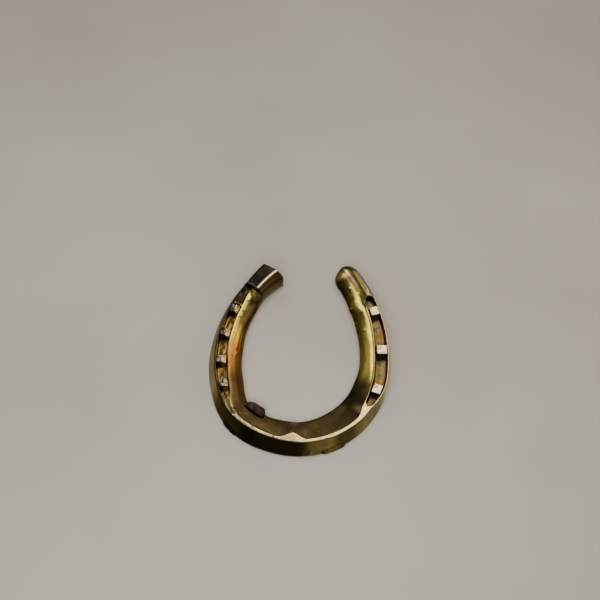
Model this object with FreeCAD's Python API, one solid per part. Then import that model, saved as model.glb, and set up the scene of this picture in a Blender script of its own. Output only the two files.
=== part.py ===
"""Hunter hind horseshoe in polished brass: a concave, fullered web with a set-back toe, a raised
calkin on the outer heel and a rounded wedge on the inner heel, with its nails still in place.

Millimetres, +Z up. The ground side faces up and the hoof side lies on z = 0. The toe points
towards -Y and the heels towards +Y. The outer branch, with the calkin, is on the -X side. The
origin is the middle of the shoe's bounding box, on the hoof side.
"""
import FreeCAD, Part
import math
import os

V = FreeCAD.Vector

# Plan of the hoof-side edge: a half ellipse round the toe, then an arc along each branch. An
# angle is the way the edge faces, in degrees: 0 at the toe, negative on the outer branch and
# positive on the inner one. The outer toe quarter swells out a little from the ellipse.
HALF_WIDTH = 62.5
TOE_REACH = 66.5
OUTER_BRANCH_RADIUS = 108.0
INNER_BRANCH_RADIUS = 122.0
OUTER_HEEL_ANGLE = -137.0
INNER_HEEL_ANGLE = 132.3
SWELL = 2.2
SWELL_ANGLE = -42.0
SWELL_HALF_SPAN = 36.0

# Section of the web. Each list holds (angle, value): the width of the web, how far the outer
# wall slopes in, the depth at which the inner slope starts, how far that crest lies under the top,
# and how far the slope bulges as a share of its length.
THICKNESS = 11.5
INNER_EDGE_HEIGHT = 3.6
EDGE_CHAMFER = 0.9
BASE_OVERCUT = 0.4
SLOPE_BULGE = [(-121.3, 0.17), (-118, 0.09), (-62, 0.09), (-42, 0.03), (72, 0.03), (96, 0.075)]
TOE_STEP = 4.0
BRANCH_STEP = 3.0
WEB_WIDTH = [(-134, 21.8), (-122, 20.4), (-110, 21.5), (-90, 23.0), (-72, 23.1), (-48, 20.9),
             (-25, 22.4), (0, 23.1), (30, 23.8), (68, 23.0), (98, 21.2), (114, 21.0), (128, 19.6)]
BEVEL_RUN = [(-134, 3.2), (-121, 4.2), (-96, 4.2), (-84, 4.8), (-68, 4.8), (-56, 5.6), (-30, 7.2),
             (-8, 6.6), (12, 6.0), (32, 4.9), (54, 3.8), (74, 1.3), (96, 1.8), (132, 2.2)]
CREST = [(-134, 10.2), (-121, 10.6), (-111, 12.6), (-96, 13.5), (-83, 14.6), (-68, 13.7),
         (-42, 8.9), (-29, 9.2), (-10, 8.5), (12, 8.0), (48, 6.6), (58, 9.8), (73, 11.2), (92, 11.9),
         (111, 10.8), (120, 9.0), (132, 8.4)]
CREST_DROP = [(111, 0.0), (118, 1.1), (128, 1.3)]
TOE_PEAK_REACH = 4.4
TOE_PEAK_HALF_ANGLE = 10.5
TOE_PEAK_STEP = 2.5

# The raised square calkin on the outer heel, whose end is cut at a slant between two points given
# as (angle, depth), and the rounded tip of the inner heel.
CALKIN_ANGLE = -121.3
CALKIN_HEIGHT = 16.5
CALKIN_CREST = 15.2
CALKIN_EDGE_HEIGHT = 4.0
HEEL_CUT_OUTSIDE = (-132.2, 4.4)
HEEL_CUT_INSIDE = (-135.2, 21.0)
TIP_SPAN = 5.4
TIP_CUTS = [0.25, 0.45, 0.62, 0.76, 0.87, 0.95, 0.99]
TIP_LOWEST = 0.45

# The fuller is the nail groove. Its ends are (start angle, end angle). The outer one starts square
# against its last nail, and the other ends are round.
FULLER_DEPTH = 5.0
FULLER_DRAFT = 0.4
FULLER_OVERSHOOT = 1.0
OUTER_FULLER = (-111.9, -60.0)
INNER_FULLER = (61.0, 114.6)
RIM_WIDTH = 1.1
LAND_WIDTH = 0.7

# Nails: (angle, length of head along the fuller, length and width of its crown, how far the
# crown leans towards the outer wall, where the worn facet on the crown's inner side starts from
# the nail's middle). A head is a little narrower than the floor of the fuller.
OUTER_NAILS = [(-67.7, 7.2, 5.6, 6.2, 0.1, -0.4), (-84.6, 7.2, 5.4, 6.9, 0.2, -0.3),
               (-98.6, 7.2, 5.4, 6.4, 0.1, -0.4), (-109.8, 7.2, 5.8, 5.8, 0.1, 0.4)]
INNER_NAILS = [(71.2, 7.4, 6.8, 6.1, 0.1, 2.6), (94.8, 7.6, 6.8, 7.0, 0.3, 2.7),
               (109.8, 7.6, 6.6, 6.0, 0.2, 2.4)]
FACET_SLOPE = 0.65
FACET_REACH = 6.0
HEAD_HEIGHT = 6.2
HEAD_CLEARANCE = 0.35
SHANK_LENGTH = 4.4
SHANK_WIDTH = 2.4
SHANK_TAPER = 0.8
SHANK_CLEARANCE = 0.1

# The small fixing lug seated on the inner edge beside the toe: its corners, as (angle, depth).
LUG_CORNERS = [(-47.5, 17.6), (-47.8, 21.6), (-43.5, 23.9), (-40.0, 24.4), (-29.0, 24.9),
               (-26.6, 22.6), (-27.6, 18.6)]
LUG_FOOT = 0.6
LUG_TOP = 7.2

# Two low swellings of the hoof-side edge, as (start angle, end angle, reach past the edge).
EDGE_ROOTS = [(-47.0, -36.5, 0.6), (19.0, 33.0, 1.0)]
EDGE_ROOT_HEIGHT = 3.4
EDGE_ROOT_OVERLAP = 2.0


def between(stations, angle):
    """The value at an angle, easing from one station to the next."""
    if angle <= stations[0][0]:
        return stations[0][1]
    for (low, first), (high, second) in zip(stations, stations[1:]):
        if angle <= high:
            share = (angle - low) / (high - low)
            ease = share * share * (3 - 2 * share)
            return first + (second - first) * ease
    return stations[-1][1]


def plain_edge(angle):
    """The ellipse and its two arcs, measured from the middle of the shoe's widest line."""
    if abs(angle) <= 90:
        turn = math.radians(angle)
        return V(HALF_WIDTH * math.sin(turn), -TOE_REACH * math.cos(turn), 0)
    radius = OUTER_BRANCH_RADIUS if angle < 0 else INNER_BRANCH_RADIUS
    turn = math.radians(abs(angle) - 90)
    x = HALF_WIDTH - radius * (1 - math.cos(turn))
    return V(math.copysign(x, angle), radius * math.sin(turn), 0)


def across(curve, angle):
    """The unit direction from a curve into the web."""
    small = 0.01
    along = curve(angle + small) - curve(angle - small)
    along.normalize()
    return V(-along.y, along.x, 0)


def edge_point(angle):
    """A point of the hoof-side edge."""
    swell = 0.0
    share = (angle - SWELL_ANGLE) / SWELL_HALF_SPAN
    if abs(share) < 1:
        swell = SWELL * math.cos(math.pi / 2 * share) ** 2
    return plain_edge(angle) - across(plain_edge, angle) * swell


def place(angle, depth, height):
    """A point at a depth in from the edge and a height over the hoof side."""
    flat = edge_point(angle) + across(edge_point, angle) * depth
    return V(flat.x, flat.y, height)


def crest(angle):
    """Where the concave slope starts, with the peak in the middle of the toe."""
    peak = 0.0
    if abs(angle) < TOE_PEAK_HALF_ANGLE:
        peak = TOE_PEAK_REACH * math.cos(math.pi / 2 * angle / TOE_PEAK_HALF_ANGLE) ** 2
    return between(CREST, angle) + peak


def web_outline(angle, top, edge_height, start, end):
    """Section points as (depth, height): bottom, outer wall, flat top, slope middle, inner edge.

    The bottom runs a little under the hoof side, which is then cut flat.
    """
    width = between(WEB_WIDTH, angle)
    run = width - end
    shoulder = top - between(CREST_DROP, angle)
    drop = shoulder - edge_height
    bulge = between(SLOPE_BULGE, angle)
    middle = (end + run / 2 + bulge * drop, shoulder - drop / 2 + bulge * run)
    tuck = EDGE_CHAMFER * (1 + BASE_OVERCUT / edge_height)
    return [(EDGE_CHAMFER + BASE_OVERCUT, -BASE_OVERCUT), (0.0, EDGE_CHAMFER), (start, top),
            (end, shoulder), middle, (width, edge_height), (width - tuck, -BASE_OVERCUT)]


def section_wire(angle, points):
    """A closed section whose slope, from the fourth point to the sixth, is one arc."""
    p = [place(angle, depth, height) for depth, height in points]
    edges = [Part.makeLine(p[0], p[1]), Part.makeLine(p[1], p[2]), Part.makeLine(p[2], p[3]),
             Part.Arc(p[3], p[4], p[5]).toShape(), Part.makeLine(p[5], p[6]),
             Part.makeLine(p[6], p[0])]
    return Part.Wire(edges)


def web_wire(angle):
    return section_wire(angle, web_outline(angle, THICKNESS, INNER_EDGE_HEIGHT,
                                           between(BEVEL_RUN, angle), crest(angle)))


def tip_wire(share):
    """A section of the rounded heel tip: it shrinks about the middle of the web."""
    angle = INNER_HEEL_ANGLE - TIP_SPAN * (1 - share)
    size = math.sqrt(1 - share * share)
    middle = between(WEB_WIDTH, angle) / 2
    outline = web_outline(angle, THICKNESS, INNER_EDGE_HEIGHT, between(BEVEL_RUN, angle), crest(angle))
    lowering = TIP_LOWEST + (1 - TIP_LOWEST) * size
    shrunk = [(middle + (depth - middle) * size, height * lowering) for depth, height in outline]
    return section_wire(angle, shrunk)


def angles(first, last, step):
    """Evenly spaced angles from the first to the last, at most a step apart."""
    count = max(2, math.ceil(abs(last - first) / step))
    return [first + (last - first) * i / count for i in range(count + 1)]


def make_web():
    peak = TOE_PEAK_HALF_ANGLE
    stations = angles(OUTER_HEEL_ANGLE, -90, BRANCH_STEP)
    stations += angles(-90, -peak, TOE_STEP)[1:]
    stations += angles(-peak, peak, TOE_PEAK_STEP)[1:]
    stations += angles(peak, 90, TOE_STEP)[1:]
    stations += angles(90, INNER_HEEL_ANGLE - TIP_SPAN, BRANCH_STEP)[1:]
    wires = [web_wire(angle) for angle in stations]
    wires += [tip_wire(share) for share in TIP_CUTS]
    return Part.makeLoft(wires, True, True)


def make_calkin():
    """The square block of the outer heel, with the web's inner slope carried up to its top."""
    wires = []
    for angle in angles(OUTER_HEEL_ANGLE, CALKIN_ANGLE, BRANCH_STEP):
        start = between(BEVEL_RUN, angle) * CALKIN_HEIGHT / THICKNESS
        outline = web_outline(angle, CALKIN_HEIGHT, CALKIN_EDGE_HEIGHT, start, CALKIN_CREST)
        wires.append(section_wire(angle, outline))
    return Part.makeLoft(wires, True, True)


def make_heel_cut():
    """A tall block past the slanting end of the outer heel."""
    outside = place(*HEEL_CUT_OUTSIDE, -1.0)
    inside = place(*HEEL_CUT_INSIDE, -1.0)
    line = inside - outside
    line.normalize()
    away = V(-line.y, line.x, 0) * THICKNESS
    corners = [outside - line * THICKNESS, inside + line * THICKNESS]
    corners += [corners[1] + away, corners[0] + away]
    return Part.Face(Part.makePolygon(corners + corners[:1])).extrude(V(0, 0, 2 * CALKIN_HEIGHT))


def make_edge_root(start, end, reach):
    """A low step that follows the edge, sloping back to the outer wall at its top."""
    wires = []
    for angle in angles(start, end, BRANCH_STEP):
        corners = [(EDGE_ROOT_OVERLAP, -BASE_OVERCUT), (-reach, -BASE_OVERCUT),
                   (-reach, EDGE_ROOT_HEIGHT / 2), (EDGE_ROOT_OVERLAP, EDGE_ROOT_HEIGHT)]
        wires.append(Part.makePolygon([place(angle, d, h) for d, h in corners + corners[:1]]))
    return Part.makeLoft(wires, True, True)


def fuller_sides(angle):
    """The depths of the groove's two walls, at their tops."""
    return between(BEVEL_RUN, angle) + RIM_WIDTH, between(CREST, angle) - LAND_WIDTH


def fuller_wire(angle):
    start, end = fuller_sides(angle)
    floor = THICKNESS - FULLER_DEPTH
    top = THICKNESS + FULLER_OVERSHOOT
    corners = [(start + FULLER_DRAFT, floor), (end - FULLER_DRAFT, floor), (end, top), (start, top)]
    return Part.makePolygon([place(angle, d, h) for d, h in corners + corners[:1]])


def round_end(angle):
    """The rounded end of a groove."""
    start, end = fuller_sides(angle)
    foot = place(angle, (start + end) / 2, THICKNESS - FULLER_DEPTH)
    radius = (end - start) / 2
    height = FULLER_DEPTH + FULLER_OVERSHOOT
    return Part.makeCone(radius - FULLER_DRAFT, radius, height, foot, V(0, 0, 1))


def make_fuller(span, round_ends):
    groove = Part.makeLoft([fuller_wire(angle) for angle in angles(*span, BRANCH_STEP)], True, True)
    return groove.fuse([round_end(angle) for angle in round_ends])


def rectangle(centre, along, sideways, length, width, height):
    """A closed rectangle, centred on a point at a height."""
    corners = []
    for a, b in ((-1, -1), (1, -1), (1, 1), (-1, 1)):
        flat = centre + along * (a * length / 2) + sideways * (b * width / 2)
        corners.append(V(flat.x, flat.y, height))
    return Part.makePolygon(corners + corners[:1])


def nail_axes(angle):
    """The nail's centre in the fuller, and its directions along and across the fuller."""
    sideways = across(edge_point, angle)
    middle = place(angle, sum(fuller_sides(angle)) / 2, 0)
    return middle, V(sideways.y, -sideways.x, 0), sideways


def make_shank(angle, clearance, lowest):
    """A nail's shank, or with a clearance the slot that it goes through."""
    axes = nail_axes(angle)
    grow = 2 * clearance
    top = rectangle(*axes, SHANK_LENGTH + grow, SHANK_WIDTH + grow, THICKNESS - FULLER_DEPTH)
    foot = rectangle(*axes, SHANK_LENGTH - SHANK_TAPER + grow,
                     SHANK_WIDTH - SHANK_TAPER / 2 + grow, lowest)
    return Part.makeLoft([foot, top], True, True)


def make_facet_cut(centre, along, sideways, offset, top):
    """A prism over the worn facet, which slopes down from the crown towards the crest."""
    near = centre + sideways * offset - along * FACET_REACH
    far = near + sideways * FACET_REACH
    corners = [V(near.x, near.y, top), V(far.x, far.y, top - FACET_SLOPE * FACET_REACH),
               V(far.x, far.y, top + FACET_REACH), V(near.x, near.y, top + FACET_REACH)]
    return Part.Face(Part.makePolygon(corners + corners[:1])).extrude(along * (2 * FACET_REACH))


def make_nail(angle, length, crown_length, crown_width, lean, facet):
    centre, along, sideways = nail_axes(angle)
    start, end = fuller_sides(angle)
    width = end - start - 2 * (FULLER_DRAFT + HEAD_CLEARANCE)
    seat = THICKNESS - FULLER_DEPTH
    top = seat + HEAD_HEIGHT
    base = rectangle(centre, along, sideways, length, width, seat)
    crown = rectangle(centre - sideways * lean, along, sideways, crown_length, crown_width, top)
    head = Part.makeLoft([base, crown], True, True)
    head = head.cut(make_facet_cut(centre, along, sideways, facet, top))
    return head.fuse(make_shank(angle, 0, 0)).removeSplitter()


def make_lug(shoe):
    """A stubby lug on the inner edge, cut to sit on the slope and hang over the opening."""
    path = [place(angle, depth, LUG_FOOT) for angle, depth in LUG_CORNERS]
    face = Part.Face(Part.makePolygon(path + path[:1]))
    block = face.extrude(V(0, 0, LUG_TOP - LUG_FOOT))
    return max(block.cut(shoe).Solids, key=lambda solid: solid.Volume)


def make_under_side():
    """A wide slab whose top is the flat hoof side."""
    size = 4 * TOE_REACH
    return Part.makeBox(size, size, 2 * BASE_OVERCUT, V(-size / 2, -size / 2, -2 * BASE_OVERCUT))


def build():
    nails = {f"outer_nail_{i + 1}": nail for i, nail in enumerate(OUTER_NAILS)}
    nails.update({f"inner_nail_{i + 1}": nail for i, nail in enumerate(INNER_NAILS)})
    shoe = make_web().fuse([make_calkin()] + [make_edge_root(*root) for root in EDGE_ROOTS])
    fullers = [make_fuller(OUTER_FULLER, OUTER_FULLER[1:]), make_fuller(INNER_FULLER, INNER_FULLER)]
    shoe = shoe.cut([make_heel_cut()] + fullers)
    shoe = shoe.cut([make_shank(nail[0], SHANK_CLEARANCE, -BASE_OVERCUT) for nail in nails.values()])
    shoe = shoe.cut(make_under_side()).removeSplitter()
    nodes = {"shoe": max(shoe.Solids, key=lambda solid: solid.Volume)}
    for name, nail in nails.items():
        nodes[name] = make_nail(*nail)
    nodes["fixing_lug"] = make_lug(nodes["shoe"])
    return nodes


def write(nodes):
    os.makedirs("parts", exist_ok=True)
    box = nodes["shoe"].optimalBoundingBox(True, False)
    shift = V(-box.Center.x, -box.Center.y, 0)
    for name, shape in nodes.items():
        shape.translate(shift)
        shape.exportStep(f"parts/{name}.step")
        size = shape.BoundBox
        print(name, shape.isValid(), len(shape.Solids), round(shape.Volume, 1),
              [round(v, 1) for v in (size.XLength, size.YLength, size.ZLength)])


write(build())
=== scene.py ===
"""Looks of a polished brass horseshoe: a worn, patinated web with painted shade, its nails and fixing
lug.

The shoe is rebuilt as one fine grid from the same plan and sections as the CAD part. Lengths in
the tables are millimetres of a shoe 125 mm wide, and UNIT turns them into metres of the frame.
"""
import math
import random

import bmesh
import bpy
import numpy as np
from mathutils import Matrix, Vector, noise


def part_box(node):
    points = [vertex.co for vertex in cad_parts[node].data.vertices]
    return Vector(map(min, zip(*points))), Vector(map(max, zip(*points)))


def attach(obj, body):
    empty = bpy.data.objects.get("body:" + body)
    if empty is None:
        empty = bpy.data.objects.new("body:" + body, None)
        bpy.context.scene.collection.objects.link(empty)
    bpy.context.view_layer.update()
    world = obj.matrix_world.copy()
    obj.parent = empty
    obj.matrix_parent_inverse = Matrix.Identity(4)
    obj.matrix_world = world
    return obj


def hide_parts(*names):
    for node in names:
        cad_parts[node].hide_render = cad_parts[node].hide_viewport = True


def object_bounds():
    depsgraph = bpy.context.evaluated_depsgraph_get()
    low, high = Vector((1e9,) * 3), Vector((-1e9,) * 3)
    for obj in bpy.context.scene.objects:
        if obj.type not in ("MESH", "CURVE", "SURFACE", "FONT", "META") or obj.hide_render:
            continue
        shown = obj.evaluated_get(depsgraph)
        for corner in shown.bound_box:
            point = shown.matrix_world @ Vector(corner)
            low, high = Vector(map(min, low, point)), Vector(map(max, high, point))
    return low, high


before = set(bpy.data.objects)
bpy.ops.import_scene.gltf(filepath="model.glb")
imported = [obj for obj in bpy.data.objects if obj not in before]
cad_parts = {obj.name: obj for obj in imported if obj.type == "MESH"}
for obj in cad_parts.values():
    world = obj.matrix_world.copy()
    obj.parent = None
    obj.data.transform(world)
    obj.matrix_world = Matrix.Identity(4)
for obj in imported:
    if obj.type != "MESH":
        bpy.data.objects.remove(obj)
cad_low, cad_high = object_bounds()
shoe_low, shoe_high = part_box("shoe")

# Plan of the hoof-side edge, by the way it faces in degrees: 0 at the toe, negative on the outer
# branch and positive on the inner one.
HALF_WIDTH = 62.5
TOE_REACH = 66.5
OUTER_BRANCH_RADIUS = 108.0
INNER_BRANCH_RADIUS = 122.0
INNER_HEEL_ANGLE = 132.3
SWELL = 2.2
SWELL_ANGLE = -42.0
SWELL_HALF_SPAN = 36.0

# Section of the web, as (angle, value) lists. The crest, where the inner slope starts, is rounded
# by a low swelling beside it.
THICKNESS = 11.5
INNER_EDGE_HEIGHT = 3.6
EDGE_CHAMFER = 0.9
SLOPE_BULGE = [(-121.3, 0.17), (-118, 0.09), (-62, 0.09), (-42, 0.03), (72, 0.03), (96, 0.075)]
WEB_WIDTH = [(-134, 21.8), (-122, 20.4), (-110, 21.5), (-90, 23.0), (-72, 23.1), (-48, 20.9),
             (-25, 22.4), (0, 23.1), (30, 23.8), (68, 23.0), (98, 21.2), (114, 21.0), (128, 19.6)]
BEVEL_RUN = [(-134, 3.2), (-121, 4.2), (-96, 4.2), (-84, 4.8), (-68, 4.8), (-56, 5.6), (-30, 7.2),
             (-8, 6.6), (12, 6.0), (32, 4.9), (54, 3.8), (74, 1.3), (96, 1.8), (132, 2.2)]
CREST = [(-134, 10.2), (-121, 10.6), (-111, 12.6), (-96, 13.5), (-83, 14.6), (-68, 13.7),
         (-42, 8.9), (-29, 9.2), (-10, 8.5), (12, 8.0), (48, 6.6), (58, 9.8), (73, 11.2), (92, 11.9),
         (111, 10.8), (120, 9.0), (132, 8.4)]
CREST_DROP = [(111, 0.0), (118, 1.1), (128, 1.3)]
CREST_ROUNDING = 0.22
CREST_ROUNDING_REACH = 1.9
TOE_PEAK_REACH = 4.4
TOE_PEAK_HALF_ANGLE = 10.5

# The calkin, and over how many degrees its inner slope fades into the web's. The end of its heel is
# a slanting line between two (angle, depth) points, turned back at its rounded inner corner. The
# other heel has a rounded tip.
CALKIN_ANGLE = -121.3
CALKIN_HEIGHT = 16.5
CALKIN_CREST = 15.2
CALKIN_FADE = 7.0
CALKIN_EDGE_HEIGHT = 4.0
HEEL_CUT_OUTSIDE = (-132.2, 4.4)
HEEL_CUT_INSIDE = (-135.2, 21.0)
HEEL_CORNER_DEPTH = 19.6
HEEL_CORNER_RUN = 2.2
HEEL_CORNER_TURN = 1.3
TIP_SPAN = 5.4
TIP_LOWEST = 0.45

# The fullers, which are the nail grooves, as (start angle, end angle, how abruptly it starts). A
# start of 1 is round and a start of 10 is nearly square. Past an end, the ring points that shape
# the groove spread out evenly over the flat top.
FULLERS = [(-111.9, -60.0, 10.0), (61.0, 114.6, 1.0)]
FULLER_DEPTH = 5.0
FULLER_DRAFT = 0.4
FULLER_LEAST_OPENING = 0.2
FULLER_FULL_DEPTH_OPENING = 0.55
FULLER_SPREAD = 8.0
RIM_WIDTH = 1.1
LAND_WIDTH = 0.7

# Two low swellings of the hoof-side edge, as (start angle, end angle, reach past the edge).
EDGE_ROOTS = [(-47.0, -36.5, 0.6), (19.0, 33.0, 1.0)]
EDGE_ROOT_HEIGHT = 3.4
EDGE_ROOT_START = 0.5

# Grid: the length of a step along the web, the rings that close the calkin's end, as shares of its
# size, the faces in each stretch of the section, and over what length its corners are rounded.
STEP = 0.65
FINE_STEP = 0.32
FINE_REACH = 4.0
RISE_ROWS = 10
TIP_ROWS = 16
CAP_SHRINKS = [0.12, 0.3, 0.5, 0.68, 0.82, 0.92, 0.97]
STRETCH_FACES = {"chamfer": 2, "wall": 22, "rim": 4, "groove_outside": 9, "floor": 12,
                 "groove_inside": 9, "land": 3, "slope": 30, "edge": 7, "base": 14}
CORNER_SOFTNESS = 0.34
TIP_SOFTNESS = 0.9

UNIT = (shoe_high.x - shoe_low.x) / (2 * HALF_WIDTH)
WIDEST_LINE = shoe_low.y + TOE_REACH * UNIT


def smooth_step(share):
    """Eases from 0 to 1 and stays there outside that range."""
    share = np.clip(share, 0.0, 1.0)
    return share * share * (3 - 2 * share)


def fade(value, first, last):
    """0 at the first value and 1 at the last, easing between them."""
    return smooth_step((value - first) / (last - first))


def between(stations, angle):
    """The value at each angle, easing from one station to the next."""
    knots = np.array(stations, float)
    i = np.clip(np.searchsorted(knots[:, 0], angle) - 1, 0, len(knots) - 2)
    share = (angle - knots[i, 0]) / (knots[i + 1, 0] - knots[i, 0])
    return knots[i, 1] + (knots[i + 1, 1] - knots[i, 1]) * smooth_step(share)


def plain_edge(angle):
    """The ellipse round the toe and its two arcs."""
    turn = np.radians(np.minimum(np.abs(angle), 90))
    bend = np.radians(np.maximum(np.abs(angle) - 90, 0))
    radius = np.where(angle < 0, OUTER_BRANCH_RADIUS, INNER_BRANCH_RADIUS)
    x = HALF_WIDTH * np.sin(turn) - radius * (1 - np.cos(bend))
    y = -TOE_REACH * np.cos(turn) + radius * np.sin(bend)
    return np.stack([np.sign(angle) * x, y], -1)


def inward(curve, angle):
    """The unit direction from a curve into the web."""
    along = curve(angle + 0.01) - curve(angle - 0.01)
    along /= np.linalg.norm(along, axis=-1, keepdims=True)
    return np.stack([-along[..., 1], along[..., 0]], -1)


def edge(angle):
    """The hoof-side edge: the plain one with a swelling on the outer branch."""
    share = np.clip((angle - SWELL_ANGLE) / SWELL_HALF_SPAN, -1, 1)
    swell = SWELL * np.cos(np.pi / 2 * share) ** 2
    return plain_edge(angle) - inward(plain_edge, angle) * swell[..., None]


def place(angle, depth, height):
    """Points at depths in from the edge and heights over the hoof side."""
    flat = edge(angle) + inward(edge, angle) * depth[..., None]
    return np.stack([flat[..., 0], flat[..., 1], height], -1)


def crest(angle):
    """How deep the crest lies, with its peak at the toe."""
    share = np.clip(angle / TOE_PEAK_HALF_ANGLE, -1, 1)
    return between(CREST, angle) + TOE_PEAK_REACH * np.cos(np.pi / 2 * share) ** 2


def degree_length(angle):
    """How many millimetres the middle of the web runs in one degree."""
    half = between(WEB_WIDTH, angle) / 2
    ahead = place(angle + 0.5, half, half)
    return np.linalg.norm(ahead - place(angle - 0.5, half, half), axis=-1)


def groove_shape(angle):
    """The groove's middle, half width, how open it is from 0 to 1, and how far past its end."""
    start = between(BEVEL_RUN, angle) + RIM_WIDTH
    end = between(CREST, angle) - LAND_WIDTH
    half = (end - start) / 2
    past = np.full(len(angle), np.inf)
    for first, last, abrupt in FULLERS:
        out = np.maximum(np.maximum((first - angle) * abrupt, angle - last), 0)
        past = np.minimum(past, out * degree_length(angle))
    opening = np.sqrt(np.clip(1 - (past / np.maximum(half, 0.1)) ** 2, 0, 1))
    return (start + end) / 2, half, opening, np.maximum(past - half, 0)


def web_rows():
    """The angle of each row from the calkin's front to the tip, closer where the shape turns."""
    rows = [CALKIN_ANGLE]
    busy = [CALKIN_ANGLE] + [end for span in FULLERS for end in span[:2]]
    while rows[-1] < INNER_HEEL_ANGLE - TIP_SPAN:
        angle = rows[-1]
        length = float(degree_length(np.array([angle]))[0])
        near = min(abs(angle - turn) * length for turn in busy) < FINE_REACH
        rows.append(angle + (FINE_STEP if near else STEP) / length)
    rows[-1] = INNER_HEEL_ANGLE - TIP_SPAN
    return rows


def section_corners(angle, rise):
    """The section's corners at each row, as (depth, height)."""
    top = THICKNESS + (CALKIN_HEIGHT - THICKNESS) * rise
    bevel = between(BEVEL_RUN, angle) * top / THICKNESS
    high = crest(angle) * (1 - rise) + CALKIN_CREST * rise
    width = between(WEB_WIDTH, angle)
    inner = INNER_EDGE_HEIGHT + (CALKIN_EDGE_HEIGHT - INNER_EDGE_HEIGHT) * rise
    middle, half, opening, past = groove_shape(angle)
    open_half = half * np.maximum(opening, FULLER_LEAST_OPENING)
    plain = np.maximum(fade(past, 0, FULLER_SPREAD), fade(rise, 0, 0.05))
    floor = top - FULLER_DEPTH * fade(opening, FULLER_LEAST_OPENING, FULLER_FULL_DEPTH_OPENING)
    offsets = [-open_half, -open_half + FULLER_DRAFT * opening, open_half - FULLER_DRAFT * opening,
               open_half]
    shares = [0.2, 0.38, 0.62, 0.8]
    groove = [(middle + offset) * (1 - plain) + (bevel + (high - bevel) * share) * plain
              for offset, share in zip(offsets, shares)]
    zero = np.zeros(len(angle))
    run = width - high
    shoulder = top - between(CREST_DROP, angle)
    drop = shoulder - inner
    swell = between(SLOPE_BULGE, angle)
    bulge = (high + run / 2 + swell * drop, shoulder - drop / 2 + swell * run)
    return {"foot": (zero + EDGE_CHAMFER, zero), "side": (zero, zero + EDGE_CHAMFER),
            "rim": (bevel, top), "groove_start": (groove[0], top), "floor_start": (groove[1], floor),
            "floor_end": (groove[2], floor), "groove_end": (groove[3], top), "crest": (high, shoulder),
            "bulge": bulge, "inner": (width, inner), "inner_foot": (width - EDGE_CHAMFER, zero)}


def section_rings(angle, rise):
    """All points of the section at each row, as two arrays (rows, points) of depth and height."""
    corners = section_corners(angle, rise)
    stretches = [("chamfer", "foot", "side"), ("wall", "side", "rim"), ("rim", "rim", "groove_start"),
                 ("groove_outside", "groove_start", "floor_start"),
                 ("floor", "floor_start", "floor_end"),
                 ("groove_inside", "floor_end", "groove_end"), ("land", "groove_end", "crest"),
                 ("slope", "crest", "inner"), ("edge", "inner", "inner_foot"),
                 ("base", "inner_foot", "foot")]
    depths, heights, names = [], [], []
    for name, first, last in stretches:
        count = STRETCH_FACES[name]
        for i in range(count):
            share = i / count
            weights = [(first, 1 - share), (last, share)]
            if name == "slope":
                weights = [(first, (1 - share) * (1 - 2 * share)), ("bulge", 4 * share * (1 - share)),
                           (last, share * (2 * share - 1))]
            depths.append(sum(corners[key][0] * weight for key, weight in weights))
            heights.append(sum(corners[key][1] * weight for key, weight in weights))
            names.append(name)
    return np.stack(depths, 1), np.stack(heights, 1), names


def toe_share(angle):
    """How much a place belongs to the toe, from 0 to 1."""
    return fade(angle, -62, -42) * fade(angle, 84, 70)


def faded_rings(angle, rise):
    """The rings, with the calkin's inner slope fading into the web's and a rounded crest."""
    depth, height, names = section_rings(angle, rise)
    faded = np.maximum(rise, fade(angle, CALKIN_ANGLE + CALKIN_FADE, CALKIN_ANGLE))
    soft_depth, soft_height, _ = section_rings(angle, faded)
    slope = np.array(names) == "slope"
    first = names.index("slope")
    down = (np.arange(len(names)) - first) / STRETCH_FACES["slope"]
    share = fade(down, 0.04, 0.54) * np.isin(names, ["slope", "edge", "base"])
    depth = depth + (soft_depth - depth) * share
    height = height + (soft_height - height) * share
    out = (depth - depth[:, first, None]) / CREST_ROUNDING_REACH
    rounding = CREST_ROUNDING * (1 - toe_share(angle))[:, None] * out * np.exp(1 - out) * slope
    return depth, height + rounding, names


def soften_rings(points, softness):
    """Rounds the corners of each ring by averaging over a short length along it."""
    ahead = np.linalg.norm(np.roll(points, -1, 1) - points, axis=-1)
    weight = (ahead + np.roll(ahead, 1, 1)) / 2
    around = np.cumsum(ahead, 1) - ahead
    total = ahead.sum(1)[:, None, None]
    gap = np.abs(around[:, :, None] - around[:, None, :])
    gap = np.minimum(gap, total - gap)
    pull = np.exp(-0.5 * (gap / softness[:, None, None]) ** 2) * weight[:, None, :]
    pull /= pull.sum(2, keepdims=True)
    return pull @ points


def soften_rows(points, times):
    """Averages each row a little with its neighbours."""
    for _ in range(times):
        points[1:-1] = points[1:-1] / 2 + (points[:-2] + points[2:]) / 4
    return points


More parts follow.
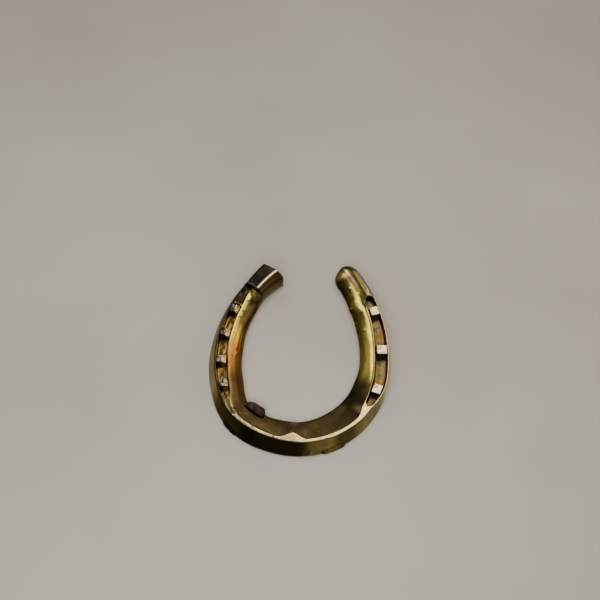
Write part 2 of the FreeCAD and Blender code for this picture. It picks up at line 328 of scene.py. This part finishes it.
def shoe_grid():
    """The grid's points (rows, ring, xyz), its angles, and the name of each ring point's stretch."""
    web = np.array(web_rows())
    heel = np.linspace(1, 0, int(HEEL_CUT_INSIDE[1] / STEP))
    rise_up = np.linspace(1, 0, RISE_ROWS)[1:-1]
    turn = np.sin(np.pi / 2 * np.arange(1, TIP_ROWS) / TIP_ROWS)
    angle = np.concatenate([np.full(len(heel) + len(rise_up), CALKIN_ANGLE), web,
                            INNER_HEEL_ANGLE - TIP_SPAN * (1 - turn)])
    rise = np.concatenate([np.ones(len(heel)), rise_up, np.zeros(len(web) + len(turn))])
    out = np.concatenate([heel, np.zeros(len(angle) - len(heel))])
    size = np.concatenate([np.ones(len(angle) - len(turn)), np.sqrt(1 - turn ** 2)])
    reach = CALKIN_ANGLE + (HEEL_CUT_OUTSIDE[0] - CALKIN_ANGLE) * out
    depth, height, names = faded_rings(np.where(out > 0, reach, angle), rise)
    middle = between(WEB_WIDTH, angle)[:, None] / 2
    depth = middle + (depth - middle) * size[:, None]
    height = height * (TIP_LOWEST + (1 - TIP_LOWEST) * size[:, None])
    slant = (HEEL_CUT_INSIDE[0] - HEEL_CUT_OUTSIDE[0]) / (HEEL_CUT_INSIDE[1] - HEEL_CUT_OUTSIDE[1])
    cut = HEEL_CUT_OUTSIDE[0] + slant * (depth - HEEL_CUT_OUTSIDE[1])
    corner = np.clip((depth - HEEL_CORNER_DEPTH) / HEEL_CORNER_RUN, 0, 1)
    cut = cut + HEEL_CORNER_TURN * (1 - np.sqrt(1 - corner ** 2))
    turned = np.where(out[:, None] > 0, CALKIN_ANGLE + (cut - CALKIN_ANGLE) * out[:, None],
                      angle[:, None])
    for first, last, swell in EDGE_ROOTS:
        inside = fade(turned, first, first + EDGE_ROOT_START)
        inside = inside * fade(turned, last, last - EDGE_ROOT_START)
        low = np.clip(2 - 2 * height / EDGE_ROOT_HEIGHT, 0, 1) * (depth < EDGE_ROOT_HEIGHT)
        depth = depth - swell * inside * low
    softness = CORNER_SOFTNESS * (1 + rise) + TIP_SOFTNESS * fade(angle, 113, 121) * size
    points = soften_rings(place(turned, depth, height), softness)
    centre = points[0].mean(0)
    cap = np.stack([centre + (points[0] - centre) * share for share in CAP_SHRINKS])
    rows = np.concatenate([cap, points])
    turned = np.concatenate([np.repeat(turned[:1], len(cap), 0), turned])
    return soften_rows(rows, 2), turned, names


def waves(point, size, seed):
    """Smooth noise from about -1 to 1, with features about that many millimetres across."""
    return noise.noise(Vector(point) / size + Vector((seed, -seed, 2 * seed)))


def grid_mesh(name, points):
    """A closed mesh from a grid whose rows are rings, with one point closing each end."""
    rows, ring = points.shape[:2]
    flat = np.concatenate([points.reshape(-1, 3), [points[0].mean(0), points[-1].mean(0)]])
    faces = []
    for row in range(rows - 1):
        for i in range(ring):
            j = (i + 1) % ring
            faces.append((row * ring + i, row * ring + j, (row + 1) * ring + j, (row + 1) * ring + i))
    last = (rows - 1) * ring
    for i in range(ring):
        j = (i + 1) % ring
        faces.append((rows * ring, j, i))
        faces.append((rows * ring + 1, last + i, last + j))
    mesh = bpy.data.meshes.new(name)
    mesh.from_pydata([tuple(p) for p in flat], [], faces)
    return mesh


def finished(mesh, name, material, slot, *nodes):
    """An object from a mesh, shaded smooth and standing for CAD nodes."""
    mesh.polygons.foreach_set("use_smooth", [True] * len(mesh.polygons))
    mesh.materials.append(material)
    piece = bpy.data.objects.new(name, mesh)
    bpy.context.scene.collection.objects.link(piece)
    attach(piece, "root")
    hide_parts(*nodes)
    return piece


# The metal's surface, in millimetres: its waves as (how high, how long, seed), its fine grain, the
# rougher floor of the grooves, and its dents as (angle, depth, radius, how deep).
WAVES = [(0.12, 11.0, 3.1), (0.02, 4.2, 8.7)]
SMOOTH_GRAIN = 0.006
ROUGH_GRAIN = 0.09
GRAIN_LENGTH = 2.2
DENTS = [(126.8, 20.0, 1.2, 0.4), (114.8, 20.6, 1.4, 0.4), (108.0, 20.6, 1.0, 0.35),
         (105.2, 21.0, 0.9, 0.3), (18.2, 12.4, 0.8, 0.25), (-46.2, 9.3, 1.4, 0.5),
         (-42.9, 12.0, 1.0, 0.4), (-118.6, 7.5, 1.2, 0.35), (-116.4, 5.2, 0.9, 0.3)]
RANDOM_DENTS = 90


def dent_list():
    """Where each dent's middle is, its radius and its depth."""
    found = []
    for angle, depth, radius, deep in DENTS:
        flat = place(np.array([angle]), np.array([depth]), np.array([0.0]))[0]
        found.append((flat[0], flat[1], radius, deep))
    chance = random.Random(7)
    for _ in range(RANDOM_DENTS):
        angle, depth = chance.uniform(-130, 130), chance.uniform(1, 21)
        flat = place(np.array([angle]), np.array([depth]), np.array([0.0]))[0]
        found.append((flat[0], flat[1], chance.uniform(0.4, 1.1), chance.uniform(0.03, 0.14)))
    return found


def open_groove(angle):
    """How far each point of the grid is inside an open groove, from 0 to 1."""
    return smooth_step(1.5 * np.stack([groove_shape(row)[2] for row in angle]))


def worn(points, angle, names):
    """The grid pushed in and out along its normals: waves from casting, a rough floor and dents."""
    across = np.roll(points, -1, 1) - np.roll(points, 1, 1)
    along = np.gradient(points, axis=0)
    normal = np.cross(across, along)
    normal /= np.maximum(np.linalg.norm(normal, axis=-1, keepdims=True), 1e-9)
    grooved = np.isin(names, ["floor", "groove_outside", "groove_inside"])
    rough = SMOOTH_GRAIN + ROUGH_GRAIN * grooved * open_groove(angle)
    push = np.zeros(points.shape[:2])
    for row in range(points.shape[0]):
        for i in range(points.shape[1]):
            point = points[row, i]
            push[row, i] = sum(high * waves(point, length, seed) for high, length, seed in WAVES)
            push[row, i] += rough[row, i] * waves(point, GRAIN_LENGTH, 5.3)
    for x, y, radius, deep in dent_list():
        apart = (points[..., 0] - x) ** 2 + (points[..., 1] - y) ** 2
        push -= deep * np.exp(-apart / (radius * radius)) * (points[..., 2] > 2.0)
    return points + normal * push[..., None]


def grain_places(points):
    """How far each point lies along the bar and round its section, so that streaks follow it."""
    middle = points.mean(1)
    along = np.concatenate([[0], np.cumsum(np.linalg.norm(np.diff(middle, axis=0), axis=-1))])
    steps = np.linalg.norm(np.diff(points, axis=1, prepend=points[:, -1:]), axis=-1)
    steps[:, 0] = 0
    around = np.cumsum(steps, 1)
    return np.stack([np.broadcast_to(along[:, None], around.shape), around, around * 0], -1)


# How many millimetres wear and dirt reach from the lines between two stretches of the section.
LINE_REACH = 0.55


class Places:
    """Where each point of the grid lies on the shoe, mostly as shares from 0 to 1."""

    def __init__(self, points, angle, names):
        self.angle = angle
        self.name = np.array(names)
        self.around = grain_places(points)[..., 1]
        self.slope = self.on("slope")
        self.wall = self.on("wall", "chamfer")
        self.floor = self.on("floor", "groove_outside", "groove_inside")
        self.top = self.floor | self.on("rim", "land")
        self.toe = toe_share(angle)
        self.left = fade(angle, -48, -62)
        self.inside = open_groove(angle)
        self.cap = (np.arange(len(points)) < len(CAP_SHRINKS))[:, None]
        self.calkin = fade(angle, CALKIN_ANGLE + 0.5, CALKIN_ANGLE)
        self.high = points[..., 2] > CALKIN_HEIGHT - 1.0
        start, end = names.index("slope"), names.index("edge")
        span = self.around[:, end] - self.around[:, start]
        out = self.around - self.around[:, start:start + 1]
        self.lower = np.clip(out / span[:, None], 0, 1) * self.slope
        self.closing = fade(angle, -61, -59) * fade(angle, -44, -47) * self.floor
        self.fading = fade(angle, -90, -66) * fade(angle, -38, -50) * self.slope
        bare = np.maximum(fade(angle, -112.2, -113.2) * self.top, fade(angle, -98, -116) * self.wall)
        self.tarnished = np.maximum(bare, self.cap)

    def on(self, *stretches):
        """Which points of the ring belong to some stretches of the section."""
        return np.isin(self.name, stretches)

    def near(self, stretch):
        """How near each point is to the line where a stretch starts."""
        line = list(self.name).index(stretch)
        return np.exp(-((self.around - self.around[:, line, None]) / LINE_REACH) ** 2)


def colour_masks(at):
    """Orange on the outer slope, green on the inner one, and brown painted shade round the toe."""
    orange = at.slope * fade(at.angle, -102, -90) + 0.3 * at.floor + 0.5 * at.calkin * at.slope
    below_crest = np.maximum(fade(at.lower, 0.15, 0.35), at.calkin * fade(at.lower, 0.04, 0.1))
    # Painted shade in brown on the toe, the outer branch's wall and slope, and the heels.
    brown = [at.toe * at.slope, 0.8 * at.toe * at.wall, 0.35 * at.left * at.wall, 0.95 * at.fading,
             0.85 * fade(at.angle, -98, -106) * below_crest,
             0.9 * fade(at.angle, 118, 124) * at.on("wall", "chamfer", "edge"),
             0.7 * fade(at.angle, 118, 126) * at.slope]
    return {"warm": at.left * orange + 0.9 * at.on("rim") * fade(at.angle, 70, 80),
            "green": np.maximum(fade(at.angle, 60, 85), fade(at.angle, -94, -100)) * at.slope,
            "brown": np.maximum.reduce(brown)}


def dark_masks(at):
    """Patina and painted shade, grime and painted shade in groove corners, and the slope's shaded foot.
    """
    left, slope, angle = at.left, at.slope, at.angle
    ridges = at.on("rim") * (0.2 + 0.75 * left) + 0.55 * at.on("land") * (angle > -99)
    ridges = np.maximum(ridges, 0.95 * left * at.near("rim"))
    crest_shade = left * slope * np.exp(-(at.lower / 0.14) ** 2) * fade(angle, -100, -92)
    # Patina on the bare patch by the calkin; elsewhere painted shade on rims, tops, floors and slopes.
    patina_and_shade = [at.tarnished, 0.8 * fade(angle, 113, 117) * at.top,
            0.55 * at.floor * at.inside * (1 - left), ridges * (1 - at.toe),
            0.4 * at.calkin * slope, 0.3 * left * at.on("groove_outside"),
            0.8 * at.closing, 0.6 * at.fading, 0.35 * crest_shade,
            0.75 * slope * fade(angle, 46, 54) * fade(angle, 78, 68)]
    return {"patina_and_shade": np.maximum.reduce(patina_and_shade),
            # Grime with painted shade, darkest along the grooves' bottom corners.
            "recess": np.maximum(at.near("floor"), at.near("groove_inside")) * at.inside,
            # Less of it on the outer branch, so its groove floors stay lighter: painted light.
            "ember": at.floor * at.inside * (1 - 0.3 * left),
            "lower": at.lower ** np.where(left > 0.5, 1.6, 6.0)}


def wear_masks(at):
    """Metal worn bright, with painted highlights: the outer rim, the toe, the calkin's front, and the
    crest.
    """
    outer_edge = np.maximum(at.near("rim"), at.near("groove_outside")) * (1 - at.left)
    front = np.exp(-((at.angle - CALKIN_ANGLE) / 0.35) ** 2) * at.top * at.high
    # The streaks by the calkin and the tip are painted highlights.
    streak = at.near("slope") * np.maximum(at.calkin, 0.7 * fade(at.angle, 121, 125)) * (1 - at.cap)
    toe_top = 0.3 * at.toe * at.top * (1 - at.closing) * (1 - at.inside)
    rim = [0.35 * outer_edge * (1 - at.tarnished), front, streak, toe_top]
    crest_share = fade(at.angle, -92, -100) * (1 - at.toe)
    inner_edge = np.maximum(at.near("land"), at.near("slope"))
    return {"rim_wear_and_highlight": np.maximum.reduce(rim),
            "crest_wear_and_highlight": 0.8 * inner_edge * (1 - at.tarnished) * crest_share}


def socket_value(tree, socket, value):
    """Links a node output into a socket, or sets a constant on it."""
    if isinstance(value, bpy.types.NodeSocket):
        tree.links.new(value, socket)
    else:
        socket.default_value = value


def noise_node(tree, vector, scale, detail, stretch=(1, 1, 1)):
    mapping = tree.nodes.new("ShaderNodeMapping")
    tree.links.new(vector, mapping.inputs["Vector"])
    mapping.inputs["Scale"].default_value = stretch
    texture = tree.nodes.new("ShaderNodeTexNoise")
    texture.inputs["Scale"].default_value = scale
    texture.inputs["Detail"].default_value = detail
    tree.links.new(mapping.outputs["Vector"], texture.inputs["Vector"])
    return texture.outputs["Fac"]


def ramp(tree, factor, stops):
    """A colour ramp of (position, colour) stops. A single number stands for a grey."""
    node = tree.nodes.new("ShaderNodeValToRGB")
    tree.links.new(factor, node.inputs["Fac"])
    while len(node.color_ramp.elements) < len(stops):
        node.color_ramp.elements.new(0.5)
    for element, (position, colour) in zip(node.color_ramp.elements, stops):
        element.position = position
        element.color = (*colour, 1) if isinstance(colour, tuple) else (colour, colour, colour, 1)
    return node.outputs["Color"]


def blend(tree, factor, first, second, how="MIX"):
    node = tree.nodes.new("ShaderNodeMix")
    node.data_type = "RGBA"
    node.blend_type = how
    for index, value in ((0, factor), (6, first), (7, second)):
        socket_value(tree, node.inputs[index], value)
    return node.outputs[2]


def attribute(tree, name, output):
    node = tree.nodes.new("ShaderNodeAttribute")
    node.attribute_name = name
    return node.outputs[output]


def mask(tree, name, unevenness):
    """A stored mask, broken up by noise so that its edge is uneven."""
    return blend(tree, 1.0, attribute(tree, name, "Color"), unevenness, "MULTIPLY")


def bumped(tree, height, strength, distance, normal=None):
    """A normal that is tilted by a height, on top of another normal if there is one."""
    node = tree.nodes.new("ShaderNodeBump")
    node.inputs["Strength"].default_value = strength
    node.inputs["Distance"].default_value = distance
    tree.links.new(height, node.inputs["Height"])
    if normal is not None:
        tree.links.new(normal, node.inputs["Normal"])
    return node.outputs["Normal"]


def new_material(name):
    material = bpy.data.materials.new(name)
    material.use_nodes = True
    tree = material.node_tree
    coordinates = tree.nodes.new("ShaderNodeTexCoord").outputs["Object"]
    return material, tree, tree.nodes["Principled BSDF"], coordinates


# Colours of the metal: brass tints, worn edges and painted highlights, patina, grime and painted shade.
GOLD = (0.76, 0.50, 0.12)
YELLOW = (0.92, 0.62, 0.07)
PALE = (0.95, 0.86, 0.62)
OLIVE = (0.40, 0.31, 0.09)
GREEN_GOLD = (0.87, 0.69, 0.12)
COPPER = (0.92, 0.24, 0.02)
ROSE = (0.95, 0.38, 0.08)
EMBER = (0.24, 0.09, 0.02)
EMBER_GOLD = (0.30, 0.19, 0.05)
SLATE = (0.08, 0.07, 0.05)
SHADE_BROWN = (0.27, 0.175, 0.075)
DARK_PATINA_AND_SHADE = (0.03, 0.028, 0.017)
GRIME_AND_SHADE = (0.05, 0.036, 0.018)
SHADE = (0.13, 0.085, 0.035)
NAIL_DARK = (0.06, 0.052, 0.035)


def shoe_brass():
    """Brass tinted olive and copper in zones, with brown painted shade, and worn edges with painted
    highlights.
    """
    material, tree, metal, where = new_material("aged_shoe_brass_painted_light")
    grain = attribute(tree, "grain", "Vector")
    broad = noise_node(tree, where, 42, 4)
    patches = noise_node(tree, where, 150, 6)
    fine = noise_node(tree, where, 900, 5)
    streaks = noise_node(tree, grain, 420, 4, (0.07, 1, 1))
    scratches = noise_node(tree, grain, 2600, 3, (0.05, 1, 1))
    colour = ramp(tree, broad, [(0.35, GREEN_GOLD), (0.52, GOLD), (0.7, YELLOW)])
    colour = blend(tree, mask(tree, "green", ramp(tree, broad, [(0.3, 0.95), (0.7, 0.55)])), colour,
                   (*GREEN_GOLD, 1))
    uneven = ramp(tree, patches, [(0.25, 0.7), (0.6, 1.0)])
    hot = ramp(tree, streaks, [(0.42, COPPER), (0.62, ROSE)])
    colour = blend(tree, mask(tree, "warm", ramp(tree, broad, [(0.35, 0.75), (0.6, 1.0)])), colour, hot)
    # Painted shade in brown.
    colour = blend(tree, mask(tree, "brown", uneven), colour, (*SHADE_BROWN, 1))
    colour = blend(tree, ramp(tree, streaks, [(0.5, 0.0), (0.68, 0.6)]), colour, (*OLIVE, 1))
    colour = blend(tree, mask(tree, "ember", ramp(tree, streaks, [(0.4, 0.8), (0.55, 1.0)])), colour,
                   ramp(tree, patches, [(0.4, EMBER), (0.5, EMBER_GOLD), (0.6, SLATE)]))
    solid = ramp(tree, patches, [(0.25, 0.92), (0.6, 1.0)])
    # Patina and painted shade, near black.
    colour = blend(tree, mask(tree, "patina_and_shade", solid), colour, (*DARK_PATINA_AND_SHADE, 1))
    recess_breakup = ramp(tree, patches, [(0.35, 0.45), (0.62, 0.95)])
    # Grime and painted shade in the grooves' corners.
    colour = blend(tree, mask(tree, "recess", recess_breakup), colour, (*GRIME_AND_SHADE, 1))
    spots = ramp(tree, patches, [(0.6, 0.0), (0.72, 0.7)])
    colour = blend(tree, mask(tree, "ember", spots), colour, (*GRIME_AND_SHADE, 1))
    colour = blend(tree, mask(tree, "lower", uneven), colour, (*SHADE, 1))
    wear_and_highlight_breakup = ramp(tree, patches, [(0.3, 1.0), (0.62, 0.85)])
    # Painted highlights with wear: yellow on the crest, pale on the rims.
    colour = blend(tree, mask(tree, "crest_wear_and_highlight", wear_and_highlight_breakup), colour, (*YELLOW, 1))
    colour = blend(tree, mask(tree, "rim_wear_and_highlight", wear_and_highlight_breakup), colour, (*PALE, 1))
    tree.links.new(colour, metal.inputs["Base Color"])
    shine = ramp(tree, patches, [(0.3, 0.10), (0.7, 0.22)])
    shine = blend(tree, ramp(tree, streaks, [(0.5, 0.0), (0.7, 0.7)]), shine, (0.3, 0.3, 0.3, 1))
    shine = blend(tree, mask(tree, "recess", recess_breakup), shine, (0.5, 0.5, 0.5, 1))
    shine = blend(tree, mask(tree, "patina_and_shade", solid), shine, (0.3, 0.3, 0.3, 1))
    shine = blend(tree, mask(tree, "rim_wear_and_highlight", wear_and_highlight_breakup), shine, (0.14, 0.14, 0.14, 1))
    tree.links.new(shine, metal.inputs["Roughness"])
    metal.inputs["Metallic"].default_value = 1.0
    normal = bumped(tree, scratches, 0.07, 0.0002)
    tree.links.new(bumped(tree, fine, 0.06, 0.0002, normal), metal.inputs["Normal"])
    return material


def nail_brass():
    material, tree, metal, where = new_material("worn_nail_brass_painted_shade")
    patches = noise_node(tree, where, 230, 5)
    fine = noise_node(tree, where, 1200, 4)
    colour = ramp(tree, patches, [(0.34, (0.62, 0.44, 0.2)), (0.46, (0.82, 0.62, 0.32)),
                                  (0.64, (0.94, 0.77, 0.52))])
    # Painted shade on the outer half of the outer branch's crowns.
    colour = blend(tree, mask(tree, "crown_shade", ramp(tree, patches, [(0.3, 1.0), (0.6, 0.8)])), colour,
                   (*NAIL_DARK, 1))
    tree.links.new(colour, metal.inputs["Base Color"])
    tree.links.new(ramp(tree, patches, [(0.3, 0.24), (0.6, 0.1)]), metal.inputs["Roughness"])
    metal.inputs["Metallic"].default_value = 1.0
    tree.links.new(bumped(tree, fine, 0.12, 0.0003), metal.inputs["Normal"])
    return material


def lug_metal():
    material, tree, metal, where = new_material("dark_lug_brass")
    patches = noise_node(tree, where, 260, 6)
    fine = noise_node(tree, where, 1500, 4)
    colour = ramp(tree, patches, [(0.3, (0.02, 0.012, 0.007)), (0.55, (0.05, 0.031, 0.014)),
                                  (0.8, (0.13, 0.08, 0.04))])
    tree.links.new(colour, metal.inputs["Base Color"])
    tree.links.new(ramp(tree, patches, [(0.3, 0.62), (0.75, 0.4)]), metal.inputs["Roughness"])
    metal.inputs["Metallic"].default_value = 0.6
    tree.links.new(bumped(tree, fine, 0.3, 0.0004), metal.inputs["Normal"])
    return material


def make_shoe():
    """The whole web as one mesh that carries its masks and the direction of its grain."""
    points, angle, names = shoe_grid()
    points = worn(points, angle, names)
    points[..., 2] = np.maximum(points[..., 2], 0.0)
    mesh = grid_mesh("shoe_body", points * UNIT + np.array([0, WIDEST_LINE, shoe_low.z]))
    at = Places(points, angle, names)
    for name, values in (colour_masks(at) | dark_masks(at) | wear_masks(at)).items():
        layer = mesh.attributes.new(name, "FLOAT", "POINT")
        ends = [values[0].mean(), values[-1].mean()]
        layer.data.foreach_set("value", np.concatenate([values.ravel(), ends]).astype(np.float32))
    grain = grain_places(points) * UNIT
    layer = mesh.attributes.new("grain", "FLOAT_VECTOR", "POINT")
    ends = [grain[0].mean(0), grain[-1].mean(0)]
    layer.data.foreach_set("vector", np.concatenate([grain.reshape(-1, 3), ends]).ravel())
    return finished(mesh, "shoe_body", shoe_brass(), "shoe_brass", "shoe")


def softened_copy(node, bevel, voxel):
    """A CAD node's mesh with rounded edges, as small even faces."""
    shape = bmesh.new()
    shape.from_mesh(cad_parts[node].data)
    bmesh.ops.remove_doubles(shape, verts=shape.verts, dist=1e-6)
    bmesh.ops.dissolve_limit(shape, angle_limit=math.radians(1), verts=shape.verts, edges=shape.edges)
    bmesh.ops.bevel(shape, geom=shape.edges[:], offset=bevel, segments=3, affect="EDGES", profile=0.5)
    mesh = bpy.data.meshes.new(node)
    shape.to_mesh(mesh)
    shape.free()
    piece = bpy.data.objects.new("work", mesh)
    bpy.context.scene.collection.objects.link(piece)
    remesh = piece.modifiers.new("even", "REMESH")
    remesh.mode = "VOXEL"
    remesh.voxel_size = voxel
    smooth = piece.modifiers.new("smooth", "SMOOTH")
    smooth.iterations = 2
    made = bpy.data.meshes.new_from_object(piece.evaluated_get(bpy.context.evaluated_depsgraph_get()))
    bpy.data.objects.remove(piece)
    return made


def roughened(mesh, layers, seed):
    """Pushes each vertex along its normal by layers of noise: (how far, size), in metres."""
    moved = []
    for vertex in mesh.vertices:
        push = sum(far * waves(vertex.co, size, seed) for far, size in layers)
        moved.append(vertex.co + vertex.normal * push)
    for vertex, point in zip(mesh.vertices, moved):
        vertex.co = point
    return mesh


def crown_shade_share(mesh):
    """Painted shade on the half of a crown that is nearer to the shoe's outer edge."""
    across = np.array([vertex.co.x for vertex in mesh.vertices]) / UNIT
    return smooth_step((across.mean() + 0.6 - across) / 0.7)


def make_nails():
    """The nails' heads and shanks. Those of the outer branch have painted shade on their crowns."""
    material = nail_brass()
    for index, node in enumerate(sorted(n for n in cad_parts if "nail" in n)):
        mesh = softened_copy(node, 0.3 * UNIT, 0.16 * UNIT)
        layers = [(0.25 * UNIT, 3.2 * UNIT), (0.05 * UNIT, 0.9 * UNIT)]
        mesh = roughened(mesh, layers, 1.7 + index)
        crown_shade = crown_shade_share(mesh) * node.startswith("outer")
        mesh.attributes.new("crown_shade", "FLOAT", "POINT").data.foreach_set("value", crown_shade)
        finished(mesh, node + "_head", material, "nail_brass", node)


def make_lug():
    mesh = softened_copy("fixing_lug", 0.35 * UNIT, 0.22 * UNIT)
    layers = [(0.2 * UNIT, 4.0 * UNIT), (0.08 * UNIT, 1.1 * UNIT)]
    finished(roughened(mesh, layers, 4.4), "fixing_lug_body", lug_metal(), "lug_dark", "fixing_lug")


# Soft boxes, as (name, place in metres, size in metres, brightness of the face, colour).
LAMPS = [("overhead", (0.10, 0.36, 0.75), (0.38, 0.38), 2.2, (1, 1, 1)),
         ("right_high", (0.46, 0.34, 0.58), (0.28, 0.26), 1.25, (1.0, 0.92, 0.74)),
         ("right_low", (0.66, 0.34, 0.34), (0.28, 0.23), 1.15, (1.0, 0.75, 0.45)),
         ("left", (-0.50, 0.29, 0.52), (0.20, 0.32), 2.2, (1, 1, 1))]


def area_light(name, place_at, size, brightness, colour):
    """A soft box that faces the shoe; its power follows from how bright its face is."""
    data = bpy.data.lights.new(name, "AREA")
    data.shape = "RECTANGLE"
    data.size, data.size_y = size
    data.energy = brightness * math.pi * size[0] * size[1]
    data.color = colour
    lamp = bpy.data.objects.new(name, data)
    lamp.location = place_at
    lamp.rotation_mode = "QUATERNION"
    lamp.rotation_quaternion = (-Vector(place_at)).to_track_quat("-Z", "Y")
    bpy.context.scene.collection.objects.link(lamp)
    return lamp


def make_world():
    """A studio that is bright above and to the right, and dim near the horizon."""
    world = bpy.data.worlds.new("studio")
    bpy.context.scene.world = world
    world.use_nodes = True
    tree = world.node_tree
    split = tree.nodes.new("ShaderNodeSeparateXYZ")
    direction = tree.nodes.new("ShaderNodeTexCoord").outputs["Generated"]
    tree.links.new(direction, split.inputs["Vector"])
    height = tree.nodes.new("ShaderNodeMapRange")
    height.inputs["From Min"].default_value = -1.0
    tree.links.new(split.outputs["Z"], height.inputs["Value"])
    aside = tree.nodes.new("ShaderNodeVectorMath")
    aside.operation = "DOT_PRODUCT"
    aside.inputs[1].default_value = (0.7, 0.7, 0.0)
    tree.links.new(direction, aside.inputs[0])
    side = tree.nodes.new("ShaderNodeMapRange")
    side.inputs["From Min"].default_value = -1.0
    tree.links.new(aside.outputs["Value"], side.inputs["Value"])
    glow = ramp(tree, height.outputs["Result"],
                [(0.0, 0.4), (0.2, 0.35), (0.35, 0.3), (0.45, 0.1), (0.55, 0.14), (0.65, 0.3),
                 (0.75, 0.2), (0.9, 0.2), (1.0, 0.25)])
    sides = ramp(tree, side.outputs["Result"],
                 [(0.0, 0.11), (0.2, 0.13), (0.32, 0.9), (0.4, 0.9), (0.48, 0.35), (0.58, 0.35),
                  (0.75, 1.0)])
    light = blend(tree, 1.0, glow, sides, "MULTIPLY")
    clutter = noise_node(tree, direction, 3.5, 3)
    light = blend(tree, 1.0, light, ramp(tree, clutter, [(0.35, 0.4), (0.6, 1.0)]), "MULTIPLY")
    tree.links.new(light, tree.nodes["Background"].inputs["Color"])
    tree.nodes["Background"].inputs["Strength"].default_value = 1.6


def make_floor():
    bpy.ops.mesh.primitive_plane_add(size=4.0, location=(0, 0, cad_low.z - 0.0002))
    floor = bpy.context.object
    floor.name = "floor"
    material, tree, surface, where = new_material("pale_floor")
    cloud = noise_node(tree, where, 5, 3)
    tree.links.new(ramp(tree, cloud, [(0.3, (0.68, 0.605, 0.51)), (0.7, (0.80, 0.72, 0.615))]),
                   surface.inputs["Base Color"])
    surface.inputs["Roughness"].default_value = 0.6
    floor.data.materials.append(material)
    floor.visible_glossy = False


# Camera: its place in metres, the way it looks, and its lens and sensor in millimetres.
CAMERA_PLACE = (0.01846, -0.23643, 0.50333)
CAMERA_DIRECTION = (-0.0384, 0.4877, -0.8722)
CAMERA_LENS = 48.0
CAMERA_SENSOR_WIDTH = 36.0


def make_camera():
    data = bpy.data.cameras.new("camera")
    data.sensor_width = CAMERA_SENSOR_WIDTH
    data.lens = CAMERA_LENS
    camera = bpy.data.objects.new("camera", data)
    camera.location = CAMERA_PLACE
    camera.rotation_mode = "QUATERNION"
    camera.rotation_quaternion = Vector(CAMERA_DIRECTION).to_track_quat("-Z", "Y")
    bpy.context.scene.collection.objects.link(camera)
    bpy.context.scene.camera = camera


make_shoe()
make_nails()
make_lug()
make_world()
for lamp in LAMPS:
    area_light(*lamp)
area_light("fill", (-0.05, -0.3, 0.5), (0.6, 0.6), 1.9, (1, 1, 1)).visible_glossy = False
make_floor()
make_camera()
